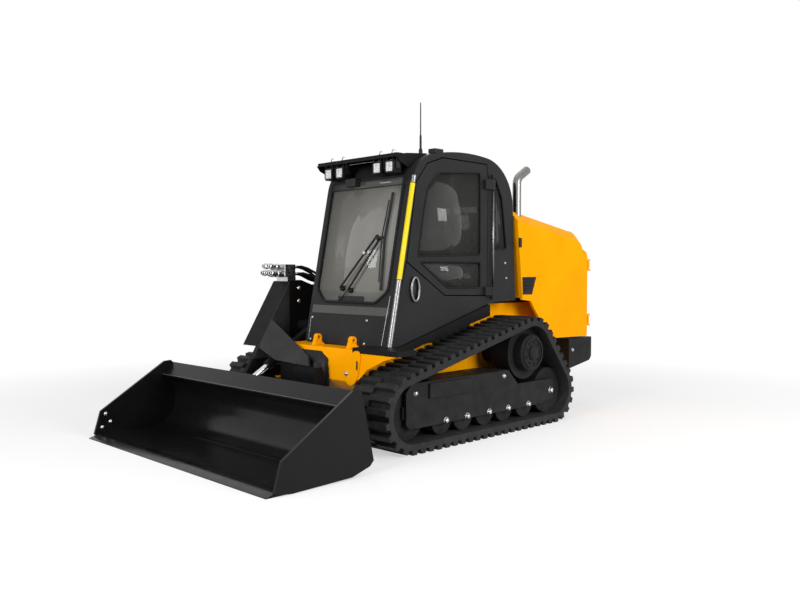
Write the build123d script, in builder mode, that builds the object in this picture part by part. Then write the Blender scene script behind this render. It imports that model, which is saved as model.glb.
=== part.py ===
"""Compact track loader with a single lift arm on its right side and a side-entry cab.

Millimetres. The machine faces -Y, its left side is +X and up is +Z. The origin is on the ground
below the middle of the overall box, from the bucket's lip to the back of the counterweight.
"""
import os
from math import atan2, cos, degrees, radians, sin, sqrt

from build123d import *

os.makedirs("parts", exist_ok=True)

# Clearances
GAP = 0.3                       # clearance of a seated piece
RUN = 8                         # clearance of a piece that moves past another
PIN_GAP = 0.06                  # radial clearance on a pin
FAR = 3000                      # beyond the machine, for cuts that run right through it

# Tracks
TRACK_OUT = 1046                # outer plane of a track
TRACK_WIDTH = 400
BELT = 45                       # belt without its lugs
LUG = 35
LUG_TIP = 44                    # length of a lug's tip along the belt
LUG_FOOT = 58
LUGS = 60
FRONT_IDLER_R = 220
FRONT_IDLER_Y = -708
REAR_IDLER_R = 200
REAR_IDLER_Y = 1095
SPROCKET_R = 232
SPROCKET_Y = 765
SPROCKET_Z = 640
ROLLER_R = 115
ROLLER_YS = (-302, -49, 225, 479, 763)
WHEEL_WIDTH = 180
HUB_R = 161
HUB_OUT = 1030

# Chassis
CHASSIS_HALF = 560
CHASSIS_WALL = 30
DECK = 745                      # top of the chassis under the cab's floor
BELLY = 330                     # ground clearance
TUB_TOP = 1050                  # top of the chassis beside the engine
TUB_FRONT = 520
NOSE_Y = -875
CHASSIS_REAR = 1700

# Cab
CAB_LEFT = 750
CAB_RIGHT = -260
CAB_WALL = 40
CAB_RAKE = 0.2                  # how far the front leans back for each unit of height
CAB_FOOT = 752                  # lowest edge of the cab's side
CAB_FRONT_Y = -693              # front plane at the cab's foot
GLASS = 6
CAB_UNDERSIDE = [(-558, 768), (-61, 905), (500, 1058), (612, 1073)]

# Hood
HOOD_LEFT = 780
HOOD_RIGHT = -500
HOOD_REAR = 2015
HOOD_SHEET = 25

# Boom
TOWER_PLATE = 22                # the tower's inner plate, between the chassis and the boom
ARM_WIDTH = 240
LIFT_PIVOT = (1590, 1620)       # y, z of the boom's pivot on its tower
LIFT_PIN_R = 35
LIFT_BASE = (1400, 1100)
LIFT_EYE = (300, 1000)
TILT_PIVOT = (-1205, 230)
TILT_PIN_R = 25
TILT_BASE = (-465, 860)
TILT_LEVER = 160
TILT_LEVER_ANGLE = 100
TILT_X = -420
TILT_EYE = (
    TILT_PIVOT[0] + TILT_LEVER * cos(radians(TILT_LEVER_ANGLE)),
    TILT_PIVOT[1] + TILT_LEVER * sin(radians(TILT_LEVER_ANGLE)),
)

# Bucket
BUCKET_HALF = 1224
BUCKET_PLATE = 20
LIP_REACH = 178                 # how far the cutting edge stands ahead of the bucket's floor

FRONT_IDLER_Z = FRONT_IDLER_R + BELT + LUG
REAR_IDLER_Z = REAR_IDLER_R + BELT + LUG
TRACK_IN = TRACK_OUT - TRACK_WIDTH
TRACK_MID = TRACK_OUT - TRACK_WIDTH / 2
ARM_IN = -CHASSIS_HALF - TOWER_PLATE - RUN
ARM_OUT = ARM_IN - ARM_WIDTH
ARM_MID = (ARM_OUT + ARM_IN) / 2
CAB_MID = (CAB_LEFT + CAB_RIGHT) / 2


def side_face(points):
    """A closed face in a side view, from (y, z) points, in the sketch that is open."""
    with BuildLine() as outline:
        Polyline(*points, close=True)
    make_face(outline.edges())


def side_plane(x):
    """The side view's plane at x, with y to the right and z up."""
    return Plane.YZ.offset(x)


def plate(points, x0, x1, mode=Mode.ADD):
    """A flat piece with a side outline, from x0 to x1, in the part that is open."""
    with BuildSketch(side_plane(x0)) as profile:
        side_face(points)
    extrude(profile.sketch, amount=x1 - x0, mode=mode)


def disc(y, z, radius, x0, x1, mode=Mode.ADD):
    """A round piece across the machine, from x0 to x1, in the part that is open."""
    with BuildSketch(side_plane(x0)) as profile:
        with Locations((y, z)):
            Circle(radius)
    extrude(profile.sketch, amount=x1 - x0, mode=mode)


def block(x0, x1, y0, y1, z0, z1, mode=Mode.ADD):
    """A box between corner planes, in the part that is open."""
    with Locations(((x0 + x1) / 2, (y0 + y1) / 2, (z0 + z1) / 2)):
        Box(x1 - x0, y1 - y0, z1 - z0, mode=mode)


def finish(part, name, pair=None):
    """Label and write one piece, and where pair is given its mirror image too."""
    part.label = name
    export_step(part, f"parts/{name}.step")
    if pair:
        twin = mirror(part, about=Plane.YZ)
        twin.label = pair
        export_step(twin, f"parts/{pair}.step")


# Tracks
CIRCLES = (
    (FRONT_IDLER_Y, FRONT_IDLER_Z, FRONT_IDLER_R),
    (REAR_IDLER_Y, REAR_IDLER_Z, REAR_IDLER_R),
    (SPROCKET_Y, SPROCKET_Z, SPROCKET_R),
)


def tangent_normal(first, second):
    """Outward unit normal of the belt's straight run from one circle to the next."""
    dy = second[0] - first[0]
    dz = second[1] - first[1]
    length = sqrt(dy * dy + dz * dz)
    along = (first[2] - second[2]) / length
    across = sqrt(1 - along * along)
    return (dy * along + dz * across) / length, (dz * along - dy * across) / length


def belt_loop(outset):
    """The belt's loop, set out from its inner face, as a closed line."""
    count = len(CIRCLES)
    normals = [tangent_normal(CIRCLES[i], CIRCLES[(i + 1) % count]) for i in range(count)]
    with BuildLine() as loop:
        for i in range(count):
            y, z, radius = CIRCLES[i]
            r = radius + outset
            before = normals[i - 1]
            after = normals[i]
            middle = (before[0] + after[0], before[1] + after[1])
            size = sqrt(middle[0] ** 2 + middle[1] ** 2)
            arc_start = (y + before[0] * r, z + before[1] * r)
            arc_middle = (y + middle[0] / size * r, z + middle[1] / size * r)
            arc_end = (y + after[0] * r, z + after[1] * r)
            ThreePointArc(arc_start, arc_middle, arc_end)
            next_y, next_z, next_radius = CIRCLES[(i + 1) % count]
            next_r = next_radius + outset
            Line(arc_end, (next_y + after[0] * next_r, next_z + after[1] * next_r))
    return Wire(loop.edges())


def lug_row(phase):
    """One row of lugs round the belt, as faces in the sketch that is open."""
    outer = belt_loop(BELT)
    for i in range(LUGS):
        place = (i + phase) / LUGS
        spot = outer.position_at(place)
        along = outer.tangent_at(place)
        out = Vector(along.Y, -along.X)
        foot = spot - out * (BELT / 4)
        tip = spot + out * LUG
        side_face([
            tuple(foot - along * (LUG_FOOT / 2))[:2],
            tuple(foot + along * (LUG_FOOT / 2))[:2],
            tuple(tip + along * (LUG_TIP / 2))[:2],
            tuple(tip - along * (LUG_TIP / 2))[:2],
        ])


with BuildPart() as track:
    with BuildSketch(side_plane(TRACK_IN)):
        make_face(belt_loop(BELT).edges())
        make_face(belt_loop(0).edges(), mode=Mode.SUBTRACT)
    extrude(amount=TRACK_WIDTH)
    with BuildSketch(side_plane(TRACK_IN)):
        lug_row(0)
    extrude(amount=TRACK_WIDTH / 2)
    with BuildSketch(side_plane(TRACK_MID)):
        lug_row(0.5)
    extrude(amount=TRACK_WIDTH / 2)
    block(TRACK_IN, TRACK_OUT, -FAR, FAR, -LUG, 0, mode=Mode.SUBTRACT)
finish(track.part, "track_left", "track_right")

with BuildPart() as drive:
    disc(SPROCKET_Y, SPROCKET_Z, SPROCKET_R - GAP, TRACK_MID - WHEEL_WIDTH / 2, TRACK_MID + WHEEL_WIDTH / 2)
    disc(SPROCKET_Y, SPROCKET_Z, HUB_R, TRACK_MID, HUB_OUT)
    disc(SPROCKET_Y, SPROCKET_Z, HUB_R - 41, CHASSIS_HALF, TRACK_MID)
    chamfer(drive.faces().sort_by(Axis.X)[-1].edges(), 14)
finish(drive.part, "drive_left", "drive_right")

with BuildPart() as idlers:
    for y, z, radius in CIRCLES[:2]:
        disc(y, z, radius - GAP, TRACK_MID - WHEEL_WIDTH / 2, TRACK_MID + WHEEL_WIDTH / 2)
finish(idlers.part, "idlers_left", "idlers_right")

ROLLER_Z = BELT + LUG + GAP + ROLLER_R
with BuildPart() as rollers:
    for y in ROLLER_YS:
        disc(y, ROLLER_Z, ROLLER_R, TRACK_MID - WHEEL_WIDTH / 2, TRACK_MID + WHEEL_WIDTH / 2)
finish(rollers.part, "track_rollers_left", "track_rollers_right")

# Track frame: an upside-down channel over the rollers, with cheeks that carry every axle
WEB = 25
FRAME_OUT = 985
FRAME_IN = 2 * TRACK_MID - FRAME_OUT
FRAME_TOP = 515
FRAME_FOOT = 175
FRAME_FRONT = -740
FRAME_REAR = 640
with BuildPart() as track_frame:
    for x0 in (FRAME_IN, FRAME_OUT - WEB):
        plate([
            (FRAME_FRONT, FRAME_FOOT + 35), (FRAME_FRONT, FRAME_TOP - 70), (FRAME_FRONT + 60, FRAME_TOP),
            (FRAME_REAR - 160, FRAME_TOP), (FRAME_REAR - 30, 385), (REAR_IDLER_Y + 40, 385),
            (REAR_IDLER_Y + 40, FRAME_FOOT + 25), (FRAME_REAR + 320, FRAME_FOOT), (FRAME_FRONT + 35, FRAME_FOOT),
        ], x0, x0 + WEB)
    block(FRAME_IN, FRAME_OUT, FRAME_FRONT + 300, FRAME_REAR - 160, FRAME_TOP - 40, FRAME_TOP)
    for y0 in (-420, 330):
        block(CHASSIS_HALF, FRAME_IN, y0, y0 + 130, 380, 480)
    axles = [(FRONT_IDLER_Y, FRONT_IDLER_Z, 45), (REAR_IDLER_Y, REAR_IDLER_Z, 45)]
    axles += [(y, ROLLER_Z, 28) for y in ROLLER_YS]
    for y, z, half in axles:
        for x0 in (FRAME_IN + WEB, TRACK_MID + WHEEL_WIDTH / 2):
            block(x0, x0 + (FRAME_OUT - WEB - TRACK_MID - WHEEL_WIDTH / 2), y - half, y + half, z - half, z + half)
    block(FRAME_OUT, FRAME_OUT + 22, -504, -27, 388, 500)
finish(track_frame.part, "track_frame_left", "track_frame_right")

# Chassis: an open-topped tub, low under the cab and high beside the engine
with BuildPart() as chassis:
    with BuildSketch(side_plane(-CHASSIS_HALF)):
        side_face([
            (-560, BELLY), (-780, 430), (NOSE_Y + 10, 500), (NOSE_Y, 620), (NOSE_Y + 8, 700), (NOSE_Y + 30, DECK),
            (TUB_FRONT - 60, DECK), (TUB_FRONT, TUB_TOP), (CHASSIS_REAR, TUB_TOP), (CHASSIS_REAR, 430),
            (CHASSIS_REAR - 120, BELLY),
        ])
    extrude(amount=2 * CHASSIS_HALF)
    block(-CHASSIS_HALF + CHASSIS_WALL, CHASSIS_HALF - CHASSIS_WALL, TUB_FRONT + 30, CHASSIS_REAR - CHASSIS_WALL,
          BELLY + CHASSIS_WALL, TUB_TOP, mode=Mode.SUBTRACT)
    block(-CHASSIS_HALF + CHASSIS_WALL, CHASSIS_HALF - CHASSIS_WALL, -500, TUB_FRONT - 70,
          BELLY + CHASSIS_WALL, DECK - CHASSIS_WALL, mode=Mode.SUBTRACT)
    block(-CHASSIS_HALF, TILT_X + 70, NOSE_Y - 1, -440, 440, DECK + 1, mode=Mode.SUBTRACT)
finish(chassis.part, "chassis_frame")

# Two lifting hooks on the nose
HOOK_XS = (20, 440)
HOOK_HOLE_R = 14
with BuildPart() as hooks:
    for x in HOOK_XS:
        with BuildSketch(side_plane(x - 18)):
            side_face([(NOSE_Y + 45, DECK), (NOSE_Y + 80, DECK + 25), (NOSE_Y + 130, DECK + 25), (NOSE_Y + 160, DECK)])
            with BuildLine():
                Polyline((NOSE_Y + 45, DECK), (NOSE_Y + 70, DECK + 70), (NOSE_Y + 120, DECK + 70),
                         (NOSE_Y + 130, DECK), close=True)
            make_face()
            with Locations((NOSE_Y + 95, DECK + 62)):
                Circle(30)
            with Locations((NOSE_Y + 95, DECK + 62)):
                Circle(HOOK_HOLE_R, mode=Mode.SUBTRACT)
        extrude(amount=36)
finish(hooks.part, "front_hooks")

# Fender between the cab's side and the left track, with a lip over the track's front
SKIRT_OUT = 775
FENDER_FRONT = -890
with BuildPart() as fender:
    plate([
        (FENDER_FRONT, 728), (FENDER_FRONT, 768), (CAB_FRONT_Y - RUN, 768), (CAB_FRONT_Y - RUN, CAB_FOOT - GAP),
        (CAB_FRONT_Y, CAB_FOOT - GAP), *[(y, z - GAP) for y, z in CAB_UNDERSIDE[:-1]], (CAB_UNDERSIDE[-2][0], 960),
        (-61, 833), (-558, 705), (CAB_FRONT_Y, 700),
    ], CHASSIS_HALF, SKIRT_OUT)
    block(SKIRT_OUT, TRACK_OUT, FENDER_FRONT, CAB_FRONT_Y, 728, 768)
finish(fender.part, "fender_left")

# Counterweight
CW_LENGTH = 440
CW_FRONT = CHASSIS_REAR
CW_BACK = CW_FRONT + CW_LENGTH
TOW_X = 140
TOW_Y = CW_BACK - 55
TOW_Z = 611                     # middle of the slot for a drawbar's eye, across a vertical pin hole
TOW_PIN_R = 20
with BuildPart() as counterweight:
    plate([
        (CW_FRONT, 400), (CW_BACK - 80, 457), (CW_BACK, 535), (CW_BACK, 672), (CW_BACK - 25, 687), (CW_FRONT, 687),
    ], HOOD_RIGHT - 200, HOOD_LEFT)
    rear_edges = counterweight.edges().filter_by(Axis.Z).sort_by(Axis.Y)[-2:]
    fillet(rear_edges, 60)
    block(TOW_X - 60, TOW_X + 60, TOW_Y - 45, CW_BACK, TOW_Z - 36, TOW_Z + 36, mode=Mode.SUBTRACT)
    with BuildSketch(Plane.XY.offset(TOW_Z - 76)):
        with Locations((TOW_X, TOW_Y)):
            Circle(TOW_PIN_R)
    extrude(amount=152, mode=Mode.SUBTRACT)
finish(counterweight.part, "counterweight")

# Engine, one plain block on the tub's floor
with BuildPart() as engine:
    block(-380, 420, 980, 1640, BELLY + CHASSIS_WALL, 1250)
finish(engine.part, "engine_block")

# Hood
EXHAUST = (680, 990)
EXHAUST_R = 39
HOOD_FRONT_TOP = (860, 1880)
HOOD_FRONT_LOW = (950, 1083)

# The rear door hangs on two short pins at the hood's rear left edge
REAR_DOOR = 45                  # thickness
REAR_PIN = (HOOD_LEFT - 20, HOOD_REAR + REAR_DOOR)
REAR_PIN_R = 7
REAR_KNUCKLE_R = 14
REAR_KNUCKLE = 60
REAR_BRACKET = 20
REAR_HINGES = (800, 1340)       # foot of each hinge's lower bracket

with BuildPart() as hood:
    with BuildSketch(side_plane(HOOD_RIGHT)) as hood_side:
        with BuildLine():
            Polyline(HOOD_FRONT_TOP, HOOD_FRONT_LOW, (1077, 1070))
            ThreePointArc((1077, 1070), (1215, 905), (1479, 712))
            Polyline((1479, 712), (HOOD_REAR, 700), (HOOD_REAR, 1558))
            ThreePointArc((HOOD_REAR, 1558), (1960, 1660), (1796, 1728))
            Line((1796, 1728), HOOD_FRONT_TOP)
        make_face()
    extrude(amount=HOOD_LEFT - HOOD_RIGHT)
    top_edges = hood.edges().filter_by(lambda e: e.center().Z > 1600 and e.length > 200 and abs(
        e.center().X - (HOOD_LEFT + HOOD_RIGHT) / 2) > 300)
    chamfer(top_edges, 90)
    with BuildSketch(side_plane(HOOD_RIGHT + HOOD_SHEET)):
        side_face([(900, 1750), (985, 600), (HOOD_REAR + 10, 600), (HOOD_REAR + 10, 1450), (1760, 1620)])
    extrude(amount=HOOD_LEFT - HOOD_RIGHT - 2 * HOOD_SHEET, mode=Mode.SUBTRACT)
    block(HOOD_RIGHT, HOOD_RIGHT + HOOD_SHEET, 900, CHASSIS_REAR + GAP, 600, TUB_TOP + GAP, mode=Mode.SUBTRACT)
    with BuildSketch(Plane.XY.offset(1700)):
        with Locations(EXHAUST):
            Circle(EXHAUST_R + GAP)
    extrude(amount=300, mode=Mode.SUBTRACT)
    for z0 in REAR_HINGES:
        top = z0 + REAR_BRACKET + RUN + REAR_KNUCKLE + RUN
        for z in (z0, top):
            block(REAR_PIN[0] - 10, HOOD_LEFT, HOOD_REAR - 5, REAR_PIN[1] + 8, z, z + REAR_BRACKET)
        with BuildSketch(Plane.XY.offset(z0)):
            with Locations(REAR_PIN):
                Circle(REAR_PIN_R)
        extrude(amount=top + REAR_BRACKET - z0)
finish(hood.part, "hood")

# Exhaust
with BuildPart() as exhaust:
    with BuildLine() as pipe_path:
        FilletPolyline((EXHAUST[0], EXHAUST[1], 1700), (EXHAUST[0], EXHAUST[1], 2170),
                       (EXHAUST[0], EXHAUST[1] + 150, 2260), radius=90)
    with BuildSketch(Plane.XY.offset(1700)):
        with Locations(EXHAUST):
            Circle(EXHAUST_R)
    sweep(path=pipe_path.wire())
    with BuildSketch(Plane(pipe_path.wire() @ 1, z_dir=-(pipe_path.wire() % 1))):
        Circle(EXHAUST_R - 4)
    extrude(amount=60, mode=Mode.SUBTRACT)
finish(exhaust.part, "exhaust_stack")

# Boom tower
TOWER_IN = (-CHASSIS_HALF - TOWER_PLATE, -CHASSIS_HALF)
TOWER_OUT = (ARM_OUT - 45, ARM_OUT - 15)
TOWER_SIDE = [(1290, 745), (1290, 1180), (1480, 1680), (1540, 1740), (1640, 1740), (1700, 1680), (1720, 1400), (1720, 745)]
with BuildPart() as tower:
    plate(TOWER_SIDE, *TOWER_IN)
    plate(TOWER_SIDE, *TOWER_OUT)
    block(TOWER_OUT[0], TOWER_IN[1], 1290, 1720, 745, 900)
    block(TOWER_OUT[0], TOWER_IN[1], 1690, 1720, 900, 1450)
    disc(*LIFT_PIVOT, LIFT_PIN_R, TOWER_OUT[1], TOWER_IN[0])
    disc(*LIFT_BASE, 25, TOWER_OUT[1], TOWER_IN[0])
finish(tower.part, "boom_tower")


# Cab
def cab_front_y(z):
    """Where the cab's raked front stands at a height."""
    return CAB_FRONT_Y + CAB_RAKE * (z - CAB_FOOT)


PILLAR_TOP = 2019
CAB_TOP = [(-350, 2185), (-200, 2268), (200, 2313), (500, 2295), (720, 2180), (835, 1960)]
ROOF_DEPTH = 253                # from the crown down to the roof's seam
CAB_REAR_LOW = (882, 1078)
CAB_SILL = 1118                 # top of the floor's sill under the cab's rear wall


def cab_outline():
    """The cab's side outline as a face in the sketch that is open."""
    with BuildLine() as outline:
        Line((cab_front_y(CAB_FOOT), CAB_FOOT), (cab_front_y(PILLAR_TOP), PILLAR_TOP))
        ThreePointArc((cab_front_y(PILLAR_TOP), PILLAR_TOP), *CAB_TOP[:2])
        ThreePointArc(*CAB_TOP[1:4])
        ThreePointArc(*CAB_TOP[3:])
        Polyline(CAB_TOP[-1], CAB_REAR_LOW, *reversed(CAB_UNDERSIDE), (cab_front_y(CAB_FOOT), CAB_FOOT))
    make_face(outline.edges())


DOOR = [(-490, 1416), (-387, 2029), (-262, 2182), (-82, 2243), (469, 2240), (489, 2121), (477, 1136), (-53, 1148)]
DOOR_GLASS_TOP = [(-370, 1455), (-297, 1851), (-254, 2007), (-132, 2125), (386, 2165), (390, 1476)]
DOOR_GLASS_LOW = [(-350, 1415), (390, 1415), (390, 1200), (-30, 1205)]
QUARTER = [(585, 2150), (683, 1967), (750, 1530), (585, 1527)]
REAR_GLASS_Y = 836
REAR_GLASS_Z = (1350, 1930)
REAR_GLASS_HALF = 340
RIGHT_WINDOW = [(-400, 1300), (-300, 1950), (-150, 2100), (560, 2100), (640, 1950), (690, 1300)]

# The door hangs on a rod beside its rear edge
HINGE_X = CAB_LEFT + 22
HINGE_Y = 535
HINGE_R = 7
HINGE_LOW = 1100
HINGE_HIGH = 2160
HINGE_BRACKET = 25
KNUCKLE_R = 15
KNUCKLES = ((1135, 1205), (2035, 2115))

with BuildPart() as left_wall:
    with BuildSketch(side_plane(CAB_LEFT - CAB_WALL)):
        cab_outline()
        with BuildSketch(mode=Mode.SUBTRACT):
            side_face(DOOR)
            offset(amount=RUN)
        with BuildSketch(mode=Mode.SUBTRACT):
            side_face(QUARTER)
    extrude(amount=CAB_WALL)
    for z0 in (HINGE_LOW, HINGE_HIGH - HINGE_BRACKET):
        block(CAB_LEFT, HINGE_X + 10, HINGE_Y - 15, HINGE_Y + 15, z0, z0 + HINGE_BRACKET)
    with BuildSketch(Plane.XY.offset(HINGE_LOW)):
        with Locations((HINGE_X, HINGE_Y)):
            Circle(HINGE_R)
    extrude(amount=HINGE_HIGH - HINGE_LOW)
finish(left_wall.part, "cab_left_wall")

with BuildPart() as right_wall:
    with BuildSketch(side_plane(CAB_RIGHT)):
        cab_outline()
        with BuildSketch(mode=Mode.SUBTRACT):
            side_face(RIGHT_WINDOW)
    extrude(amount=CAB_WALL)
finish(right_wall.part, "cab_right_wall")


def cab_ring(y0, y1, z0, z1):
    """The part of the cab's rim inside a side view box, as a face in the sketch that is open."""
    with BuildSketch() as inner:
        cab_outline()
        offset(amount=-CAB_WALL, mode=Mode.REPLACE)
    cab_outline()
    add(inner.sketch_local, mode=Mode.SUBTRACT)
    with Locations(((y0 + y1) / 2, (z0 + z1) / 2)):
        Rectangle(y1 - y0, z1 - z0, mode=Mode.INTERSECT)


ROOF_SPLIT = CAB_TOP[2][1] - ROOF_DEPTH
CAB_INNER = CAB_LEFT - CAB_RIGHT - 2 * CAB_WALL
front_plane = Plane(
    origin=(CAB_MID, cab_front_y(CAB_FOOT), CAB_FOOT), x_dir=(1, 0, 0), z_dir=(0, -1, CAB_RAKE))
SCREEN = [(-330, 345), (290, 345), (415, 445), (415, 1290), (-440, 1290), (-440, 445)]

with BuildPart() as cab_front:
    with BuildSketch(side_plane(CAB_RIGHT + CAB_WALL)):
        cab_ring(-FAR, -150, 0, ROOF_SPLIT)
    extrude(amount=CAB_INNER)
    block(CAB_RIGHT, CAB_LEFT, -600, FAR, 0, 1000, mode=Mode.SUBTRACT)
    with BuildSketch(front_plane):
        side_face(SCREEN)
    extrude(amount=-3 * CAB_WALL, mode=Mode.SUBTRACT)
finish(cab_front.part, "cab_front")

with BuildPart() as roof:
    with BuildSketch(side_plane(CAB_RIGHT + CAB_WALL)):
        cab_ring(-FAR, FAR, ROOF_SPLIT, FAR)
    extrude(amount=CAB_INNER)
finish(roof.part, "cab_roof")

with BuildPart() as rear_wall:
    with BuildSketch(side_plane(CAB_RIGHT + CAB_WALL)):
        cab_ring(700, FAR, CAB_SILL, ROOF_SPLIT)
    extrude(amount=CAB_INNER)
    block(CAB_MID - REAR_GLASS_HALF, CAB_MID + REAR_GLASS_HALF, 700, FAR, *REAR_GLASS_Z, mode=Mode.SUBTRACT)
finish(rear_wall.part, "cab_rear_wall")

with BuildPart() as cab_floor:
    plate([
        (-600, DECK), (TUB_FRONT - 60, DECK), (TUB_FRONT, TUB_TOP), (CAB_REAR_LOW[0], TUB_TOP), CAB_REAR_LOW,
        (CAB_REAR_LOW[0] - 2, CAB_SILL), (700, CAB_SILL), (700, TUB_TOP + 28), (TUB_FRONT - 40, TUB_TOP + 28),
        (TUB_FRONT - 100, DECK + 40), (-600, DECK + 40),
    ], CAB_RIGHT + CAB_WALL, CHASSIS_HALF - GAP)
    plate([
        (-600, DECK), (TUB_FRONT - 60, DECK), (TUB_FRONT, TUB_TOP), (TUB_FRONT, TUB_TOP + 28), CAB_UNDERSIDE[2],
        CAB_UNDERSIDE[1], CAB_UNDERSIDE[0], (-600, 763),
    ], CHASSIS_HALF - CHASSIS_WALL, CHASSIS_HALF - GAP)
    plate([
        (-600, 764), *CAB_UNDERSIDE, CAB_REAR_LOW, (CAB_REAR_LOW[0] - 2, CAB_SILL), (700, CAB_SILL), (612, 1098),
        (490, 1083), (-71, 935), (-600, 790),
    ], CHASSIS_HALF - CHASSIS_WALL, CAB_LEFT - CAB_WALL)
finish(cab_floor.part, "cab_floor")

with BuildPart() as windshield:
    with BuildSketch(front_plane.offset(-CAB_WALL / 2)):
        side_face(SCREEN)
        offset(amount=-GAP, mode=Mode.REPLACE)
    extrude(amount=GLASS)
finish(windshield.part, "windshield")

with BuildPart() as cab_glass:
    with BuildSketch(side_plane(CAB_LEFT - CAB_WALL / 2)):
        side_face(QUARTER)
        offset(amount=-GAP, mode=Mode.REPLACE)
    extrude(amount=GLASS)
    with BuildSketch(side_plane(CAB_RIGHT + CAB_WALL / 2)):
        side_face(RIGHT_WINDOW)
        offset(amount=-GAP, mode=Mode.REPLACE)
    extrude(amount=GLASS)
    with BuildSketch(Plane.XZ.offset(-REAR_GLASS_Y)):
        with Locations((CAB_MID, sum(REAR_GLASS_Z) / 2)):
            Rectangle(2 * (REAR_GLASS_HALF - GAP), REAR_GLASS_Z[1] - REAR_GLASS_Z[0] - 2 * GAP)
    extrude(amount=-GLASS)
finish(cab_glass.part, "cab_glass")

# Light bar with four lamps under its lip
with BuildPart() as light_bar:
    block(CAB_RIGHT - 30, CAB_LEFT - 80, -520, -420, 2225, 2255)
    for x in (-130, 10, 460, 600):
        block(x - 50, x + 50, -530, -460, 2100, 2200)
        block(x - 10, x + 10, -500, -470, 2200, 2225)
    for x in (CAB_RIGHT + 60, CAB_LEFT - 160):
        with BuildSketch(side_plane(x - 15)):
            side_face([(-430, 2225), (-430, 2255), (-150, 2255), (-150, 2225)])
            with BuildSketch(mode=Mode.SUBTRACT):
                cab_outline()
                offset(amount=GAP)
        extrude(amount=30)
finish(light_bar.part, "light_bar")

with BuildPart() as antenna:
    with BuildSketch(Plane.XY.offset(2250)):
        with Locations((600, -185)):
            Circle(4)
    extrude(amount=440)
    with BuildSketch(Plane.XY.offset(2250)):
        with Locations((600, -185)):
            Circle(22)
    extrude(amount=36)
    with BuildSketch(side_plane(560)):
        cab_outline()
        offset(amount=GAP)
    extrude(amount=80, mode=Mode.SUBTRACT)
finish(antenna.part, "antenna")

# Seat and side consoles
SEAT_MID = 165
SEAT_HALF = 225
CONSOLE_HALF = 42
with BuildPart() as seat:
    block(SEAT_MID - SEAT_HALF, SEAT_MID + SEAT_HALF, 60, 460, 1150, 1250)
    block(SEAT_MID - SEAT_HALF, SEAT_MID + SEAT_HALF, 400, 480, 1250, 1800)
    block(SEAT_MID - 160, SEAT_MID + 160, 120, 400, DECK + 40, 1150)
finish(seat.part, "seat")

with BuildPart() as consoles:
    for x in (SEAT_MID - SEAT_HALF - CONSOLE_HALF - RUN, SEAT_MID + SEAT_HALF + CONSOLE_HALF + RUN):
        block(x - CONSOLE_HALF, x + CONSOLE_HALF, -120, 400, DECK + 40, 1350)
        with BuildSketch(Plane.XY.offset(1350)):
            with Locations((x, -60)):
                Circle(16)
        extrude(amount=150)
finish(consoles.part, "control_consoles")

# Door
with BuildPart() as door:
    with BuildSketch(side_plane(CAB_LEFT - CAB_WALL)):
        side_face(DOOR)
        for window in (DOOR_GLASS_TOP, DOOR_GLASS_LOW):
            with BuildSketch(mode=Mode.SUBTRACT):
                side_face(window)
    extrude(amount=CAB_WALL)
    for z0, z1 in KNUCKLES:
        with BuildSketch(Plane.XY.offset(z0)) as strap:
            with BuildLine() as strap_line:
                Polyline((CAB_LEFT, 430), (HINGE_X + 6, 430), (HINGE_X + 6, HINGE_Y), (HINGE_X - 10, HINGE_Y),
                         (CAB_LEFT + RUN, 500), (CAB_LEFT + RUN, 470), (CAB_LEFT, 470), close=True)
            make_face(strap_line.edges())
            with Locations((HINGE_X, HINGE_Y)):
                Circle(KNUCKLE_R)
                Circle(HINGE_R + PIN_GAP, mode=Mode.SUBTRACT)
        extrude(strap.sketch, amount=z1 - z0)
finish(door.part, "door_panel")

with BuildPart() as door_glass:
    for window in (DOOR_GLASS_TOP, DOOR_GLASS_LOW):
        with BuildSketch(side_plane(CAB_LEFT - CAB_WALL / 2)):
            side_face(window)
            offset(amount=-GAP, mode=Mode.REPLACE)
        extrude(amount=GLASS)
finish(door_glass.part, "door_glass")

# Rear door with a grille
with BuildPart() as rear_door:
    block(HOOD_RIGHT + 40, HOOD_LEFT - 40, HOOD_REAR + GAP, HOOD_REAR + REAR_DOOR, 715, 1530)
    for i in range(9):
        z = 800 + i * 70
        block(HOOD_RIGHT + 140, HOOD_LEFT - 140, HOOD_REAR, FAR, z, z + 40, mode=Mode.SUBTRACT)
    for z0 in REAR_HINGES:
        foot = z0 + REAR_BRACKET + RUN
        block(HOOD_LEFT - 60, REAR_PIN[0], REAR_PIN[1] - 16, REAR_PIN[1], foot, foot + REAR_KNUCKLE)
        for radius, mode in ((REAR_KNUCKLE_R, Mode.ADD), (REAR_PIN_R + PIN_GAP, Mode.SUBTRACT)):
            with BuildSketch(Plane.XY.offset(foot)):
                with Locations(REAR_PIN):
                    Circle(radius)
            extrude(amount=REAR_KNUCKLE, mode=mode)
finish(rear_door.part, "rear_door")

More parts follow.
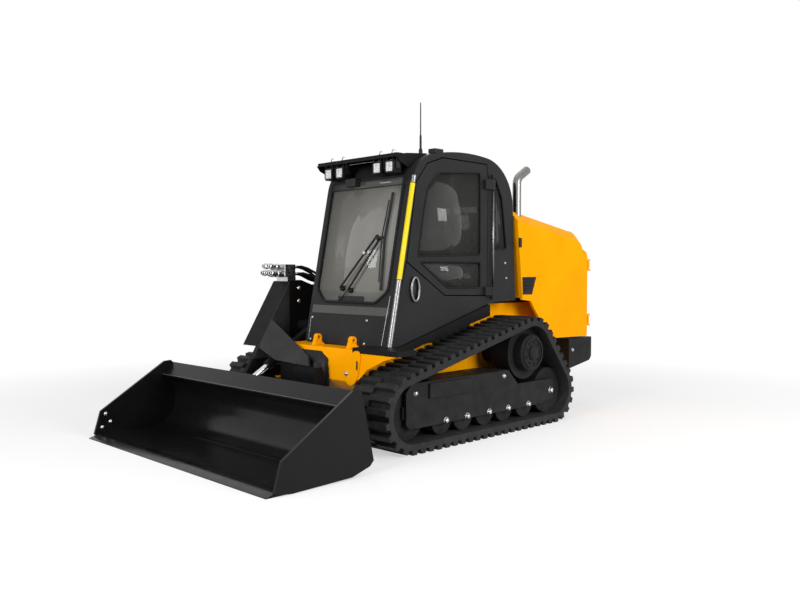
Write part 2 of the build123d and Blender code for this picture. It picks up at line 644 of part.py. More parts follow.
# Boom
ARM_SIDE = [
    (-925, 700), (-595, 1250), (-470, 1262), (-250, 1185), (1470, 1716), (1590, 1735), (1690, 1650), (1690, 1560),
    (1590, 1500), (1480, 1470), (-190, 965), (-330, 880), (-560, 700),
]
SLANT = (1250 - 700) / (-595 + 925)
gusset_plane = Plane(origin=(0, -925, 700), x_dir=(1, 0, 0), z_dir=(0, -SLANT, 1))
DROP_IN = -TRACK_IN + 2 * RUN + 40
with BuildPart() as boom:
    plate(ARM_SIDE, ARM_OUT, ARM_IN)
    disc(*LIFT_PIVOT, LIFT_PIN_R + PIN_GAP, ARM_OUT, ARM_IN, mode=Mode.SUBTRACT)
    with BuildSketch(gusset_plane):
        side_face([(ARM_IN - 10, 268), (90, -29), (157, -117), (-295, -99), (ARM_IN - 10, -6)])
    extrude(amount=-22)
    plate([(-925, 715), (-1060, 480), (-1060, 330), (-955, 290), (-890, 330), (-800, 715)], DROP_IN - 40, DROP_IN)
    with BuildSketch(side_plane(DROP_IN - 15)) as tube:
        with Locations((-955, 385)):
            Circle(62)
    extrude(tube.sketch, amount=285 + 15 - DROP_IN, dir=(1, 0, -0.0787))
    for x0 in (-285, 250):
        with BuildSketch(side_plane(x0)):
            side_face([(-900, 300), (-1000, 250), (-1190, 170), (-1240, 200), (-1250, 260), (-1180, 290), (-1010, 420)])
            with Locations(TILT_PIVOT):
                Circle(60)
            with Locations(TILT_PIVOT):
                Circle(TILT_PIN_R + PIN_GAP, mode=Mode.SUBTRACT)
        extrude(amount=35)
    with BuildSketch(side_plane(250)):
        side_face([(-1010, 330), (-1010, 640), (-960, 640), (-900, 380)])
    extrude(amount=35)
    for x0 in (ARM_MID - 60, ARM_MID + 45):
        with BuildSketch(side_plane(x0)):
            side_face([(130, 1080), (160, 975), (440, 975), (480, 1180)])
            with Locations(LIFT_EYE):
                Circle(60)
        extrude(amount=15)
    disc(*TILT_BASE, 22, ARM_IN - 10, TILT_X + 50)
    disc(*TILT_BASE, 50, ARM_IN - 10, TILT_X - 45)
finish(boom.part, "boom_arm")


def cylinder_line(base, eye):
    """Length and direction, in degrees, of a cylinder in the side view."""
    dy = eye[0] - base[0]
    dz = eye[1] - base[1]
    return sqrt(dy * dy + dz * dz), degrees(atan2(dz, dy))


def barrel(x, base, eye, radius, eye_r, pin_r, width, body_length):
    """A cylinder's barrel with the eye at its base, in the part that is open."""
    length, angle = cylinder_line(base, eye)
    axis = Plane(origin=(x, *base), x_dir=(1, 0, 0), z_dir=(0, cos(radians(angle)), sin(radians(angle))))
    disc(*base, eye_r, x - width / 2, x + width / 2)
    with BuildSketch(axis.offset(eye_r * 0.6)) as section:
        Circle(radius)
    extrude(section.sketch, amount=body_length - eye_r * 0.6)
    return axis


LIFT_BARREL_R = 55
LIFT_ROD_R = 30
LIFT_BODY = 780
LIFT_LENGTH, LIFT_ANGLE = cylinder_line(LIFT_BASE, LIFT_EYE)
with BuildPart() as lift_barrel:
    lift_axis = barrel(ARM_MID, LIFT_BASE, LIFT_EYE, LIFT_BARREL_R, 60, 25, 80, LIFT_BODY)
    with BuildSketch(lift_axis.offset(100)):
        Circle(LIFT_ROD_R + 0.2)
    extrude(amount=LIFT_BODY, mode=Mode.SUBTRACT)
    disc(*LIFT_BASE, 25 + PIN_GAP, ARM_MID - 50, ARM_MID + 50, mode=Mode.SUBTRACT)
finish(lift_barrel.part, "lift_barrel")

with BuildPart() as lift_rod:
    with BuildSketch(lift_axis.offset(130)):
        Circle(LIFT_ROD_R)
    extrude(amount=LIFT_LENGTH - 130 - 20)
    disc(*LIFT_EYE, 38, ARM_MID - 40, ARM_MID + 40)
    disc(*LIFT_EYE, 25, ARM_MID - 50, ARM_MID + 50, mode=Mode.SUBTRACT)
finish(lift_rod.part, "lift_rod")

TILT_BARREL_R = 42
TILT_ROD_R = 25
TILT_BODY = 590
TILT_LENGTH, TILT_ANGLE = cylinder_line(TILT_BASE, TILT_EYE)
with BuildPart() as tilt_barrel:
    tilt_axis = barrel(TILT_X, TILT_BASE, TILT_EYE, TILT_BARREL_R, 48, 22, 70, TILT_BODY)
    with BuildSketch(tilt_axis.offset(80)):
        Circle(TILT_ROD_R + 0.2)
    extrude(amount=TILT_BODY, mode=Mode.SUBTRACT)
    disc(*TILT_BASE, 22 + PIN_GAP, TILT_X - 50, TILT_X + 50, mode=Mode.SUBTRACT)
finish(tilt_barrel.part, "tilt_barrel")

with BuildPart() as tilt_rod:
    with BuildSketch(tilt_axis.offset(165)):
        Circle(TILT_ROD_R)
    extrude(amount=TILT_LENGTH - 165 - 20)
    disc(*TILT_EYE, 40, TILT_X - 30, TILT_X + 30)
    disc(*TILT_EYE, 20, TILT_X - 40, TILT_X + 40, mode=Mode.SUBTRACT)
finish(tilt_rod.part, "tilt_rod")

# Quick couplers and hoses on the knee
with BuildPart() as couplers:
    plate([(-590, 1250.8), (-500, 1259.4), (-500, 1290), (-590, 1290)], ARM_IN - 200, ARM_IN - 40)
    for i in range(3):
        with BuildSketch(Plane.XZ.offset(530)):
            with Locations((ARM_IN - 180 + i * 60, 1310)):
                Circle(24)
        extrude(amount=150)
finish(couplers.part, "auxiliary_couplers")

# Bucket
BUCKET_SIDE = [
    (-2092, 28), (-2039, 209), (-1471, 570), (-1410, 575), (-1394, 560), (-1287, 92), (-1321, 58), (-1477, 12), (-1962, 2),
    (-2080, 14),
]
BACK_LOW = (-1287, 92)
BACK_LEAN = (1394 - 1287) / (560 - 92)


def bucket_back(z):
    """Where the bucket's flat back stands at a height."""
    return BACK_LOW[0] - BACK_LEAN * (z - BACK_LOW[1])


with BuildPart() as bucket:
    with BuildSketch(side_plane(-BUCKET_HALF + BUCKET_PLATE)):
        with BuildLine():
            Polyline((-1580, 30), (-2000, 20), (-1962, 2), (-1580, 8))
            ThreePointArc((-1580, 8), (-1415, 75), (-1350, 240))
            ThreePointArc((-1350, 240), (-1366, 365), (-1440, 470))
            Polyline((-1440, 470), (-1385, 545), (-1402, 560), (-1490, 462), (-1475, 450))
            ThreePointArc((-1475, 450), (-1390, 360), (-1372, 240))
            ThreePointArc((-1372, 240), (-1433, 91), (-1580, 30))
        make_face()
    extrude(amount=2 * (BUCKET_HALF - BUCKET_PLATE))
    plate(BUCKET_SIDE, -BUCKET_HALF, -BUCKET_HALF + BUCKET_PLATE)
    plate(BUCKET_SIDE, BUCKET_HALF - BUCKET_PLATE, BUCKET_HALF)
    for x in (-540, -365, -120, 120, 365, 540):
        plate([
            (-1450, 470), (-1392, 545), (bucket_back(540), 540), (bucket_back(100), 100), (-1340, 75), (-1420, 80),
            (-1360, 240), (-1375, 360),
        ], x - 8, x + 8)
finish(bucket.part, "bucket")

LIP_Y = -1962 - LIP_REACH
with BuildPart() as edge:
    plate([(LIP_Y, 0), (-1962, 0), (-1962, 2), (-2000, 20), (-2080, 22), (LIP_Y, 4)],
          -BUCKET_HALF + BUCKET_PLATE, BUCKET_HALF - BUCKET_PLATE)
finish(edge.part, "cutting_edge")

# Hitch on the bucket's back
HITCH_PLATE = 30
with BuildPart() as hitch:
    with BuildSketch(side_plane(-560)):
        side_face([
            (bucket_back(100), 100), (bucket_back(535), 535), (bucket_back(535) + HITCH_PLATE, 535),
            (bucket_back(100) + HITCH_PLATE, 100),
        ])
    extrude(amount=1120)
    for x0 in (-325, -245, 210, 290):
        plate([(-1270, 120), (-1320, 340), (-1200, 285), (-1160, 230), (-1205, 175)], x0, x0 + 30)
    disc(*TILT_PIVOT, TILT_PIN_R, -325, -215)
    disc(*TILT_PIVOT, TILT_PIN_R, 210, 320)
    for x0 in (TILT_X - 55, TILT_X + 37):
        plate([
            (-1310, 300), (-1330, 420), (TILT_EYE[0] + 45, TILT_EYE[1] + 25), (TILT_EYE[0] + 45, TILT_EYE[1] - 40),
        ], x0, x0 + 18)
finish(hitch.part, "bucket_hitch")
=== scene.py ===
"""Looks of a compact track loader: finishes for the frame's nodes and the fine pieces on them.

Metres. The machine faces -Y, its left side is +X and up is +Z.
"""
import math

import bmesh
import bpy
from mathutils import Matrix, Vector


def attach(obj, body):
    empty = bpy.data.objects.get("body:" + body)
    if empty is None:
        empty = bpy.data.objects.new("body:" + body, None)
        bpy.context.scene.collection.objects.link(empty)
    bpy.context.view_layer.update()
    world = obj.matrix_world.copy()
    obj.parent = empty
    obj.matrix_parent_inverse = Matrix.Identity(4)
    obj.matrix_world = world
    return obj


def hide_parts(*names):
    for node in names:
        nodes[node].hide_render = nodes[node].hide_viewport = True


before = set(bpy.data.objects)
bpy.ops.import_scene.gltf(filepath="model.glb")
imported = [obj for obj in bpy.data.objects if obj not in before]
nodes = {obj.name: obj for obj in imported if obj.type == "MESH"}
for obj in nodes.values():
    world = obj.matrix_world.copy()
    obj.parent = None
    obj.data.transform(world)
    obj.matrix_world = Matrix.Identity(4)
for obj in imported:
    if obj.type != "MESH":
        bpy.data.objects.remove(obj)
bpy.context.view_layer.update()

LEFT = Vector((1, 0, 0))
FORWARD = Vector((0, -1, 0))
BACK = Vector((0, 1, 0))
UP = Vector((0, 0, 1))


# Shader nodes
def new_material(name):
    """An empty node material with its shader and output joined."""
    mat = bpy.data.materials.new(name)
    mat.use_nodes = True
    tree = mat.node_tree
    tree.nodes.clear()
    out = tree.nodes.new("ShaderNodeOutputMaterial")
    shader = tree.nodes.new("ShaderNodeBsdfPrincipled")
    tree.links.new(shader.outputs["BSDF"], out.inputs["Surface"])
    return mat, tree, shader


def place_of(tree):
    """The point being shaded, in the machine's own coordinates."""
    return tree.nodes.new("ShaderNodeTexCoord").outputs["Object"]


def place_axes(tree):
    """The X, Y and Z of the point being shaded."""
    split = tree.nodes.new("ShaderNodeSeparateXYZ")
    tree.links.new(place_of(tree), split.inputs["Vector"])
    return split.outputs


def calculate(tree, operation, first, second):
    """A sum worked out on values or numbers."""
    node = tree.nodes.new("ShaderNodeMath")
    node.operation = operation
    for socket, value in zip(node.inputs, (first, second)):
        if isinstance(value, (int, float)):
            socket.default_value = value
        else:
            tree.links.new(value, socket)
    return node.outputs[0]


def noise(tree, scale, detail=4.0):
    """Noise in the machine's own coordinates."""
    texture = tree.nodes.new("ShaderNodeTexNoise")
    texture.inputs["Scale"].default_value = scale
    texture.inputs["Detail"].default_value = detail
    texture.inputs["Roughness"].default_value = 0.55
    tree.links.new(place_of(tree), texture.inputs["Vector"])
    return texture.outputs["Fac"]


def remap(tree, value, low, high, start=0.35, end=0.65):
    """The value's middle range, stretched from low to high."""
    node = tree.nodes.new("ShaderNodeMapRange")
    node.inputs["From Min"].default_value = start
    node.inputs["From Max"].default_value = end
    node.inputs["To Min"].default_value = low
    node.inputs["To Max"].default_value = high
    tree.links.new(value, node.inputs["Value"])
    return node.outputs["Result"]


def mix_colour(tree, factor, first, second):
    """Two colours mixed by a value."""
    node = tree.nodes.new("ShaderNodeMix")
    node.data_type = "RGBA"
    tree.links.new(factor, node.inputs[0])
    for socket, colour in ((node.inputs[6], first), (node.inputs[7], second)):
        if isinstance(colour, tuple):
            socket.default_value = (*colour, 1.0)
        else:
            tree.links.new(colour, socket)
    return node.outputs[2]


def bump(tree, shader, height, strength, distance):
    """Fine relief on the shader."""
    node = tree.nodes.new("ShaderNodeBump")
    node.inputs["Strength"].default_value = strength
    node.inputs["Distance"].default_value = distance
    tree.links.new(height, node.inputs["Height"])
    tree.links.new(node.outputs["Normal"], shader.inputs["Normal"])


def low_dust(tree, colour, top, amount):
    """Pale dust that thins out with height above the ground."""
    height = remap(tree, place_axes(tree)["Z"], amount, 0.0, 0.0, top)
    patches = remap(tree, noise(tree, 9.0), 0.2, 1.0)
    return mix_colour(tree, calculate(tree, "MULTIPLY", height, patches), colour, DUST)


def seen_rays(tree):
    """1 for the rays that show the background: camera, glossy and transmission rays."""
    rays = tree.nodes.new("ShaderNodeLightPath").outputs
    direct = calculate(tree, "MAXIMUM", rays["Is Camera Ray"], rays["Is Glossy Ray"])
    return calculate(tree, "MAXIMUM", direct, rays["Is Transmission Ray"])


# Kinds of material
def paint(name, colour, shade, roughness, grain=260.0, relief=0.05, dust=0.0, shine=0.22):
    """Sprayed paint: two close shades, a fine orange peel and uneven gloss."""
    mat, tree, shader = new_material(name)
    tone = mix_colour(tree, remap(tree, noise(tree, 2.5), 0.0, 1.0), colour, shade)
    if dust:
        tone = low_dust(tree, tone, 0.75, dust)
    tree.links.new(tone, shader.inputs["Base Color"])
    gloss = remap(tree, noise(tree, 14.0), roughness * 0.85, roughness * 1.2)
    tree.links.new(gloss, shader.inputs["Roughness"])
    shader.inputs["Specular IOR Level"].default_value = shine
    bump(tree, shader, noise(tree, grain, 2.0), relief, 0.001)
    return mat


def metal(name, colour, roughness, scratch=0.0):
    """Bare or plated metal with faint uneven polish."""
    mat, tree, shader = new_material(name)
    dull = tuple(c * 0.86 for c in colour)
    tone = mix_colour(tree, remap(tree, noise(tree, 30.0), 0.0, 1.0), colour, dull)
    tree.links.new(tone, shader.inputs["Base Color"])
    shader.inputs["Metallic"].default_value = 1.0
    polish = remap(tree, noise(tree, 60.0), roughness * 0.7, roughness * 1.4)
    tree.links.new(polish, shader.inputs["Roughness"])
    if scratch:
        bump(tree, shader, noise(tree, 180.0, 6.0), scratch, 0.0008)
    return mat


def rubber(name, colour, shade, roughness, relief, dust):
    """Moulded rubber: matt, pitted and dusty near the ground."""
    mat, tree, shader = new_material(name)
    shader.inputs["Specular IOR Level"].default_value = 0.16
    tone = mix_colour(tree, remap(tree, noise(tree, 24.0, 6.0), 0.0, 1.0), colour, shade)
    tree.links.new(low_dust(tree, tone, 1.0, dust), shader.inputs["Base Color"])
    gloss = remap(tree, noise(tree, 40.0), roughness * 0.85, roughness * 1.1)
    tree.links.new(gloss, shader.inputs["Roughness"])
    bump(tree, shader, noise(tree, 120.0, 8.0), relief, 0.002)
    return mat


def glass(name, tint, alpha):
    """Thin tinted glass, with faint streaks in its gloss."""
    mat, tree, shader = new_material(name)
    shader.inputs["Base Color"].default_value = (*tint, 1.0)
    shader.inputs["Alpha"].default_value = alpha
    tree.links.new(remap(tree, noise(tree, 3.0), 0.02, 0.06), shader.inputs["Roughness"])
    return mat


def fabric(name, colour, shade):
    """Woven seat cloth."""
    mat, tree, shader = new_material(name)
    weave = tree.nodes.new("ShaderNodeTexWave")
    weave.inputs["Scale"].default_value = 220.0
    weave.inputs["Distortion"].default_value = 1.5
    tree.links.new(place_of(tree), weave.inputs["Vector"])
    tone = mix_colour(tree, weave.outputs["Fac"], colour, shade)
    tree.links.new(tone, shader.inputs["Base Color"])
    shader.inputs["Roughness"].default_value = 0.9
    shader.inputs["Sheen Weight"].default_value = 0.3
    bump(tree, shader, weave.outputs["Fac"], 0.25, 0.001)
    return mat


def lens_with_painted_glints():
    """Lamp glass over a faceted reflector, whose glints are painted as light and dark cells, with a faint
    painted glow.
    """
    mat, tree, shader = new_material("lamp_lens")
    glint_cells = tree.nodes.new("ShaderNodeTexVoronoi")
    glint_cells.inputs["Scale"].default_value = 70.0
    tree.links.new(place_of(tree), glint_cells.inputs["Vector"])
    # Painted glints: each reflector cell is painted light at its middle and darker towards its edge.
    tone = mix_colour(tree, glint_cells.outputs["Distance"], (0.8, 0.8, 0.8), (0.2, 0.2, 0.21))
    tree.links.new(tone, shader.inputs["Base Color"])
    shader.inputs["Roughness"].default_value = 0.12
    # A faint painted glow that lightens the lens.
    shader.inputs["Emission Color"].default_value = (1.0, 0.98, 0.95, 1.0)
    shader.inputs["Emission Strength"].default_value = 0.12
    bump(tree, shader, glint_cells.outputs["Distance"], 0.5, 0.003)
    return mat


# Bounds of the gusset, where the boom's paint is made lighter as painted light
GUSSET_FROM_X = -0.598
GUSSET_FROM_Z = 0.6
GUSSET_TO_Y = -0.6


def boom_material_with_painted_light():
    """Black boom paint, with painted light on the gusset between the boom and the bucket's middle: a greyer
    shade there stands in for the light its front-facing plate catches.
    """
    mat, tree, shader = new_material("boom_paint_with_painted_light")
    axes = place_axes(tree)
    inner = calculate(tree, "GREATER_THAN", axes["X"], GUSSET_FROM_X)
    high = calculate(tree, "GREATER_THAN", axes["Z"], GUSSET_FROM_Z)
    front = calculate(tree, "LESS_THAN", axes["Y"], GUSSET_TO_Y)
    gusset = calculate(tree, "MULTIPLY", calculate(tree, "MULTIPLY", inner, high), front)
    # Painted light: the greyer colour on the gusset stands in for the light it catches.
    tone = mix_colour(tree, gusset, (0.009, 0.009, 0.009), (0.04, 0.04, 0.041))
    dark = mix_colour(tree, remap(tree, noise(tree, 5.0), 0.0, 0.35), tone, (0.006, 0.006, 0.006))
    tree.links.new(dark, shader.inputs["Base Color"])
    tree.links.new(remap(tree, noise(tree, 20.0), 0.3, 0.46), shader.inputs["Roughness"])
    shader.inputs["Specular IOR Level"].default_value = 0.06
    bump(tree, shader, noise(tree, 300.0, 2.0), 0.06, 0.001)
    return mat


KNUCKLES_FROM_X = 0.735


def rear_door_material():
    """Black paint on the grille, and the hood's yellow on the hinge knuckles beside it."""
    mat, tree, shader = new_material("rear_door_paint")
    knuckles = calculate(tree, "GREATER_THAN", place_axes(tree)["X"], KNUCKLES_FROM_X)
    tone = mix_colour(tree, knuckles, (0.01, 0.01, 0.01), HOOD_COLOUR)
    tree.links.new(tone, shader.inputs["Base Color"])
    tree.links.new(remap(tree, noise(tree, 14.0), 0.34, 0.46), shader.inputs["Roughness"])
    shader.inputs["Specular IOR Level"].default_value = 0.16
    return mat


# Finishes
DUST = (0.16, 0.15, 0.135)
HOOD_COLOUR = (1.0, 0.4, 0.0)
YELLOW = paint("yellow_paint", HOOD_COLOUR, (0.96, 0.365, 0.0), 0.42, shine=0.03)
CAB_GREY = paint("cab_grey_paint", (0.019, 0.019, 0.02), (0.015, 0.015, 0.016), 0.42, shine=0.12)
BOOM_BLACK = paint("boom_black_paint", (0.008, 0.008, 0.008), (0.006, 0.006, 0.006), 0.4, shine=0.08)
BOOM_PAINTED_LIGHT = boom_material_with_painted_light()
BUCKET_BLACK = paint("bucket_black_paint", (0.006, 0.006, 0.006), (0.004, 0.004, 0.004), 0.2, shine=0.18)
FRAME_GREY = paint("frame_grey_paint", (0.015, 0.015, 0.0155), (0.011, 0.011, 0.0115), 0.5,
                   dust=0.12, shine=0.08)
REAR_DOOR_PAINT = rear_door_material()
STRIP_YELLOW = paint("strip_yellow", (0.8, 0.62, 0.0), (0.72, 0.55, 0.0), 0.3)
TRIM_BLACK = paint("trim_black", (0.012, 0.012, 0.013), (0.009, 0.009, 0.01), 0.55, grain=420.0, relief=0.12)
# The same grey also serves on the bucket's rim, where it is a painted highlight.
BAND_AND_RIM_HIGHLIGHT = paint("band_grey_and_rim_highlight", (0.06, 0.059, 0.054), (0.045, 0.044, 0.041), 0.3, shine=0.4)
HEADER = paint("screen_header", (0.07, 0.069, 0.063), (0.055, 0.054, 0.05), 0.12, relief=0.0, shine=0.3)
CASTING = paint("engine_casting", (0.05, 0.05, 0.052), (0.035, 0.035, 0.037), 0.6, relief=0.2)
RED = paint("red_plastic", (0.6, 0.01, 0.008), (0.5, 0.008, 0.006), 0.4)
PLASTIC = paint("black_plastic", (0.02, 0.02, 0.021), (0.014, 0.014, 0.015), 0.6, grain=500.0, relief=0.2)
GASKET = rubber("gasket_rubber", (0.012, 0.012, 0.013), (0.008, 0.008, 0.009), 0.7, 0.1, 0.0)
TRACK = rubber("track_rubber", (0.022, 0.022, 0.023), (0.014, 0.014, 0.015), 0.72, 0.35, 0.12)
CHROME = metal("chrome", (0.7, 0.7, 0.72), 0.1)
BAR = metal("brushed_bar", (0.2, 0.2, 0.203), 0.3)
EXHAUST = metal("exhaust_steel", (0.24, 0.236, 0.225), 0.2)
STEEL = metal("worn_steel", (0.45, 0.44, 0.42), 0.34, 0.1)
ZINC = metal("zinc_bolts", (0.62, 0.62, 0.63), 0.28)
CLEAR = glass("clear_glass", (0.05, 0.05, 0.047), 0.6)
# The windshield's pale grey is partly its tint and partly a painted reflection of the white surroundings.
SCREEN_TINT_AND_REFLECTION = glass("screen_glass_and_painted_reflection", (0.26, 0.256, 0.232), 0.66)
SEAT_CLOTH = fabric("seat_cloth", (0.03, 0.03, 0.033), (0.012, 0.012, 0.014))
LENS_WITH_PAINTED_GLINTS = lens_with_painted_glints()

# Frame nodes
NODE_FINISH = {
    YELLOW: ("hood", "chassis_frame", "front_hooks"),
    CAB_GREY: ("cab_left_wall", "cab_right_wall", "cab_front", "cab_roof", "cab_rear_wall", "door_panel"),
    BOOM_PAINTED_LIGHT: ("boom_arm",),
    BOOM_BLACK: ("boom_tower", "bucket_hitch", "lift_barrel", "tilt_barrel", "fender_left", "light_bar"),
    REAR_DOOR_PAINT: ("rear_door",),
    BUCKET_BLACK: ("bucket", "cutting_edge"),
    FRAME_GREY: ("track_frame_left", "track_frame_right", "drive_left", "drive_right", "idlers_left",
                 "idlers_right", "track_rollers_left", "track_rollers_right", "counterweight"),
    TRACK: ("track_left", "track_right"),
    CHROME: ("lift_rod", "tilt_rod"),
    EXHAUST: ("exhaust_stack",),
    ZINC: ("auxiliary_couplers",),
    CASTING: ("engine_block",),
    CLEAR: ("cab_glass", "door_glass"),
    SCREEN_TINT_AND_REFLECTION: ("windshield",),
    PLASTIC: ("control_consoles", "antenna", "cab_floor"),
}
EDGE = {
    "hood": 0.012, "bucket": 0.004, "counterweight": 0.012, "boom_arm": 0.006, "cab_left_wall": 0.012,
    "cab_right_wall": 0.012, "cab_roof": 0.004, "chassis_frame": 0.008, "track_left": 0.004,
    "track_right": 0.004, "boom_tower": 0.006, "track_frame_left": 0.005, "track_frame_right": 0.005,
    "fender_left": 0.006, "cutting_edge": 0.001, "antenna": 0.0, "windshield": 0.0, "cab_glass": 0.0,
    "door_glass": 0.0,
}
DEFAULT_EDGE = 0.003
SHARP_ANGLE = math.radians(32)


def soften(obj, width):
    """Round an object's sharp edges a little and shade it smoothly between them."""
    weld = obj.modifiers.new("weld", "WELD")
    weld.merge_threshold = 0.00002
    for face in obj.data.polygons:
        face.use_smooth = True
    if width:
        rounding = obj.modifiers.new("edges", "BEVEL")
        rounding.width = width
        rounding.segments = 2
        rounding.limit_method = "ANGLE"
        rounding.angle_limit = SHARP_ANGLE
        rounding.harden_normals = True
        rounding.use_clamp_overlap = True


for finish, names in NODE_FINISH.items():
    for name in names:
        node = nodes[name]
        node.data.materials.clear()
        node.data.materials.append(finish)
        if "custom_normal" in node.data.attributes:
            node.data.attributes.remove(node.data.attributes["custom_normal"])
        soften(node, EDGE.get(name, DEFAULT_EDGE))


# Building fine pieces
def turn_angles(count):
    """Equal steps round a full turn."""
    return [2 * math.pi * k / count for k in range(count)]


class Shape:
    """A mesh that gathers simple forms."""

    def __init__(self):
        self.bm = bmesh.new()

    def sweep(self, points, radius, sides=16, closed=False):
        """A round bar along points."""
        points = [Vector(p) for p in points]
        count = len(points)
        rings = []
        side = None
        for i, point in enumerate(points):
            before = points[(i - 1) % count] if closed or i else point
            after = points[(i + 1) % count] if closed or i < count - 1 else point
            along = (after - before).normalized()
            if side is None:
                guide = UP if abs(along.z) < 0.9 else LEFT
                side = along.cross(guide).normalized()
            side = (side - along * side.dot(along)).normalized()
            other = along.cross(side)
            rings.append([
                self.bm.verts.new(point + side * (radius * math.cos(a)) + other * (radius * math.sin(a)))
                for a in turn_angles(sides)
            ])
        pairs = list(zip(rings, rings[1:]))
        if closed:
            pairs.append((rings[-1], rings[0]))
        for first, second in pairs:
            for k in range(sides):
                n = (k + 1) % sides
                self.bm.faces.new((first[k], first[n], second[n], second[k]))
        if not closed:
            self.bm.faces.new(reversed(rings[0]))
            self.bm.faces.new(rings[-1])
        return self

    def lathe(self, profile, centre, axis, sides=32):
        """A turned form: profile of (radius, distance along the axis) about a centre."""
        turn = UP.rotation_difference(Vector(axis)).to_matrix().to_4x4()
        place = Matrix.Translation(Vector(centre)) @ turn
        rings = []
        for radius, height in profile:
            spots = [(0, 0, height)]
            if radius:
                spots = [(radius * math.cos(a), radius * math.sin(a), height) for a in turn_angles(sides)]
            rings.append([self.bm.verts.new(place @ Vector(spot)) for spot in spots])
        for low, high in zip(rings, rings[1:]):
            for k in range(sides):
                n = (k + 1) % sides
                corners = [low[k % len(low)], low[n % len(low)], high[n % len(high)], high[k % len(high)]]
                unique = list(dict.fromkeys(corners))
                if len(unique) > 2:
                    self.bm.faces.new(unique)
        return self

    def prism(self, outline, direction):
        """A flat outline pushed along a direction."""
        push = Vector(direction)
        low = [self.bm.verts.new(Vector(p)) for p in outline]
        high = [self.bm.verts.new(Vector(p) + push) for p in outline]
        self.bm.faces.new(reversed(low))
        self.bm.faces.new(high)
        for k in range(len(low)):
            n = (k + 1) % len(low)
            self.bm.faces.new((low[k], low[n], high[n], high[k]))
        return self

    def box(self, low, high):
        """A box between two corners."""
        (x0, y0, z0), (x1, y1, z1) = low, high
        return self.prism([(x0, y0, z0), (x1, y0, z0), (x1, y1, z0), (x0, y1, z0)], (0, 0, z1 - z0))

    def bolt(self, centre, axis, radius):
        """A hexagon head on a washer, standing on a surface."""
        washer = [(0, 0), (radius * 1.45, 0), (radius * 1.45, radius * 0.2), (0, radius * 0.2)]
        head = [(0, 0), (radius, 0), (radius, radius * 0.62), (radius * 0.82, radius * 0.75),
                (0, radius * 0.75)]
        self.lathe(washer, centre, axis, 20)
        return self.lathe(head, Vector(centre) + Vector(axis).normalized() * (radius * 0.2), axis, 6)

    def piece(self, name, finish, body, width=0.0):
        """The finished object, in its finish and on its body."""
        bmesh.ops.recalc_face_normals(self.bm, faces=self.bm.faces)
        mesh = bpy.data.meshes.new(name)
        self.bm.to_mesh(mesh)
        self.bm.free()
        obj = bpy.data.objects.new(name, mesh)
        bpy.context.scene.collection.objects.link(obj)
        mesh.materials.append(finish)
        soften(obj, width)
        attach(obj, body)
        return obj


def along_x(shape, section, x, length):
    """A section in Y and Z, pushed to the left from x by a length."""
    return shape.prism([(x, y, z) for y, z in section], (length, 0, 0))


def upright(outline, y):
    """An outline in X and Z, stood up at one Y."""
    return [(x, y, z) for x, z in outline]


def oval(centre, half_y, half_z, count):
    """Points of an oval that faces sideways, about a centre."""
    x, y, z = centre
    return [(x, y + half_y * math.cos(a), z + half_z * math.sin(a)) for a in turn_angles(count)]


def arc_points(points, radius, steps=6):
    """A loop of corners with each corner rounded."""
    result = []
    count = len(points)
    for i in range(count):
        corner = Vector(points[i])
        back = Vector(points[i - 1]) - corner
        ahead = Vector(points[(i + 1) % count]) - corner
        reach = min(radius, back.length * 0.45, ahead.length * 0.45)
        start = corner + back.normalized() * reach
        end = corner + ahead.normalized() * reach
        for k in range(steps + 1):
            t = k / steps
            result.append(start * (1 - t) ** 2 + corner * (2 * t * (1 - t)) + end * t ** 2)
    return result


def three_point_arc(start, middle, end, inward, steps=12):
    """Points of the arc through three places in Y and Z, moved toward its centre."""
    (ay, az), (by, bz), (cy, cz) = start, middle, end
    twice = 2 * (ay * (bz - cz) + by * (cz - az) + cy * (az - bz))
    a2, b2, c2 = ay * ay + az * az, by * by + bz * bz, cy * cy + cz * cz
    oy = (a2 * (bz - cz) + b2 * (cz - az) + c2 * (az - bz)) / twice
    oz = (a2 * (cy - by) + b2 * (ay - cy) + c2 * (by - ay)) / twice
    radius = math.hypot(ay - oy, az - oz) - inward
    first = math.atan2(az - oz, ay - oy)
    turn = (math.atan2(cz - oz, cy - oy) - first + math.pi) % (2 * math.pi) - math.pi
    angles = [first + turn * k / steps for k in range(steps + 1)]
    return [(oy + radius * math.cos(a), oz + radius * math.sin(a)) for a in angles]


# Cab front: a plane that leans back from the cab's foot
CAB_FOOT_Y = -0.693
CAB_FOOT_Z = 0.752
CAB_RAKE = 0.2
CAB_LEFT_X = 0.75
FRONT_NORMAL = Vector((0, -1, CAB_RAKE)).normalized()


def front_y(z):
    """Where the cab's raked front stands at a height."""
    return CAB_FOOT_Y + CAB_RAKE * (z - CAB_FOOT_Z)


def on_front(x, z, out=0.0):
    """A point on the cab's front at x and z, moved outward."""
    return Vector((x, front_y(z), z)) + FRONT_NORMAL * out


def front_plate(shape, outline, thickness, out=0.0):
    """A plate with an outline in X and Z, lying on the cab's front."""
    return shape.prism([on_front(x, z, out) for x, z in outline], FRONT_NORMAL * thickness)


def front_bar(shape, stops, radius, sides):
    """A bar through stops, each given as X, Z and distance off the cab's front."""
    return shape.sweep([on_front(*stop) for stop in stops], radius, sides)


